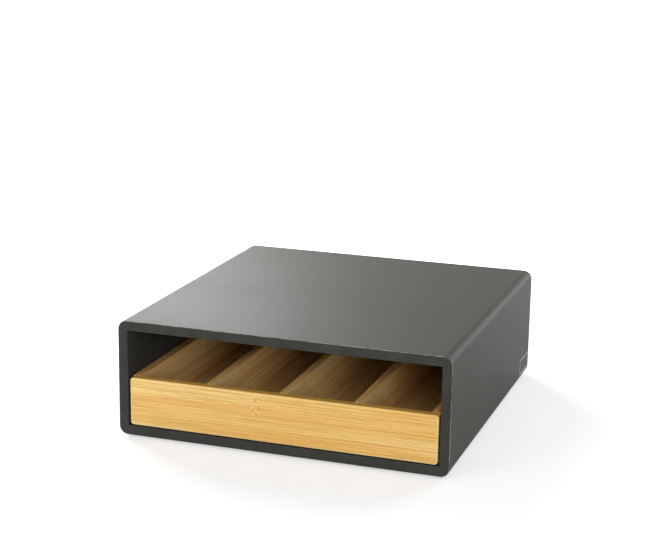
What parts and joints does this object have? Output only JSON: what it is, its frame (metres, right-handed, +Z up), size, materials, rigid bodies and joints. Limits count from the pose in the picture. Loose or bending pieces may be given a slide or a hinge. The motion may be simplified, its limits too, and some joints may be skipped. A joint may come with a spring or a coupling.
{
  "type": "coffee pod drawer",
  "caption": "Low black carcass with rounded corners and an open front, holding a bamboo drawer with lengthwise dividers for coffee pods; a machine stands on its flat top.",
  "frame": {"origin": "on the worktop, under the middle of the carcass", "axes": "+X to the right as seen from the front, +Y from the drawer's front to the back panel, +Z up"},
  "size_m": [0.3403, 0.35, 0.12],
  "materials": {
    "black_lacquer": "satin black lacquer on fibreboard, smooth with a faint orange peel",
    "bamboo": "laminated bamboo strips, clear satin oil",
    "bamboo_ply": "thin bamboo plywood, clear satin oil",
    "beech": "raw beech, glued in and hidden",
    "rubber_pad": "matt black foam rubber",
    "felt_strip": "dense dark grey felt",
    "zinc_steel": "zinc-plated steel",
    "label_film": "blank dark grey film"
  },
  "bodies": {
    "carcass": {"top_panel": "black_lacquer", "bottom_panel": "black_lacquer", "left_side_panel": "black_lacquer", "right_side_panel": "black_lacquer", "corner_splines": "beech", "back_panel": "black_lacquer", "back_panel_pins": "zinc_steel", "foot_pad_front_left": "rubber_pad", "foot_pad_front_right": "rubber_pad", "foot_pad_rear_left": "rubber_pad", "foot_pad_rear_right": "rubber_pad", "rear_bumper_left": "rubber_pad", "rear_bumper_right": "rubber_pad", "side_label": "label_film", "stop_block": "bamboo", "stop_block_screws": "zinc_steel"},
    "drawer": {"drawer_front": "bamboo", "drawer_left_side": "bamboo", "drawer_right_side": "bamboo", "drawer_back": "bamboo", "drawer_base": "bamboo_ply", "divider_left": "bamboo", "divider_centre": "bamboo", "divider_right": "bamboo", "front_dowels": "beech", "back_dowels": "beech", "glide_strip_left": "felt_strip", "glide_strip_right": "felt_strip"}
  },
  "joints": [
    {"name": "drawer_slide", "type": "slide", "parent": "carcass", "child": "drawer", "axis": [0, -1, 0], "range_m": [0, 0.3097]}
  ]
}
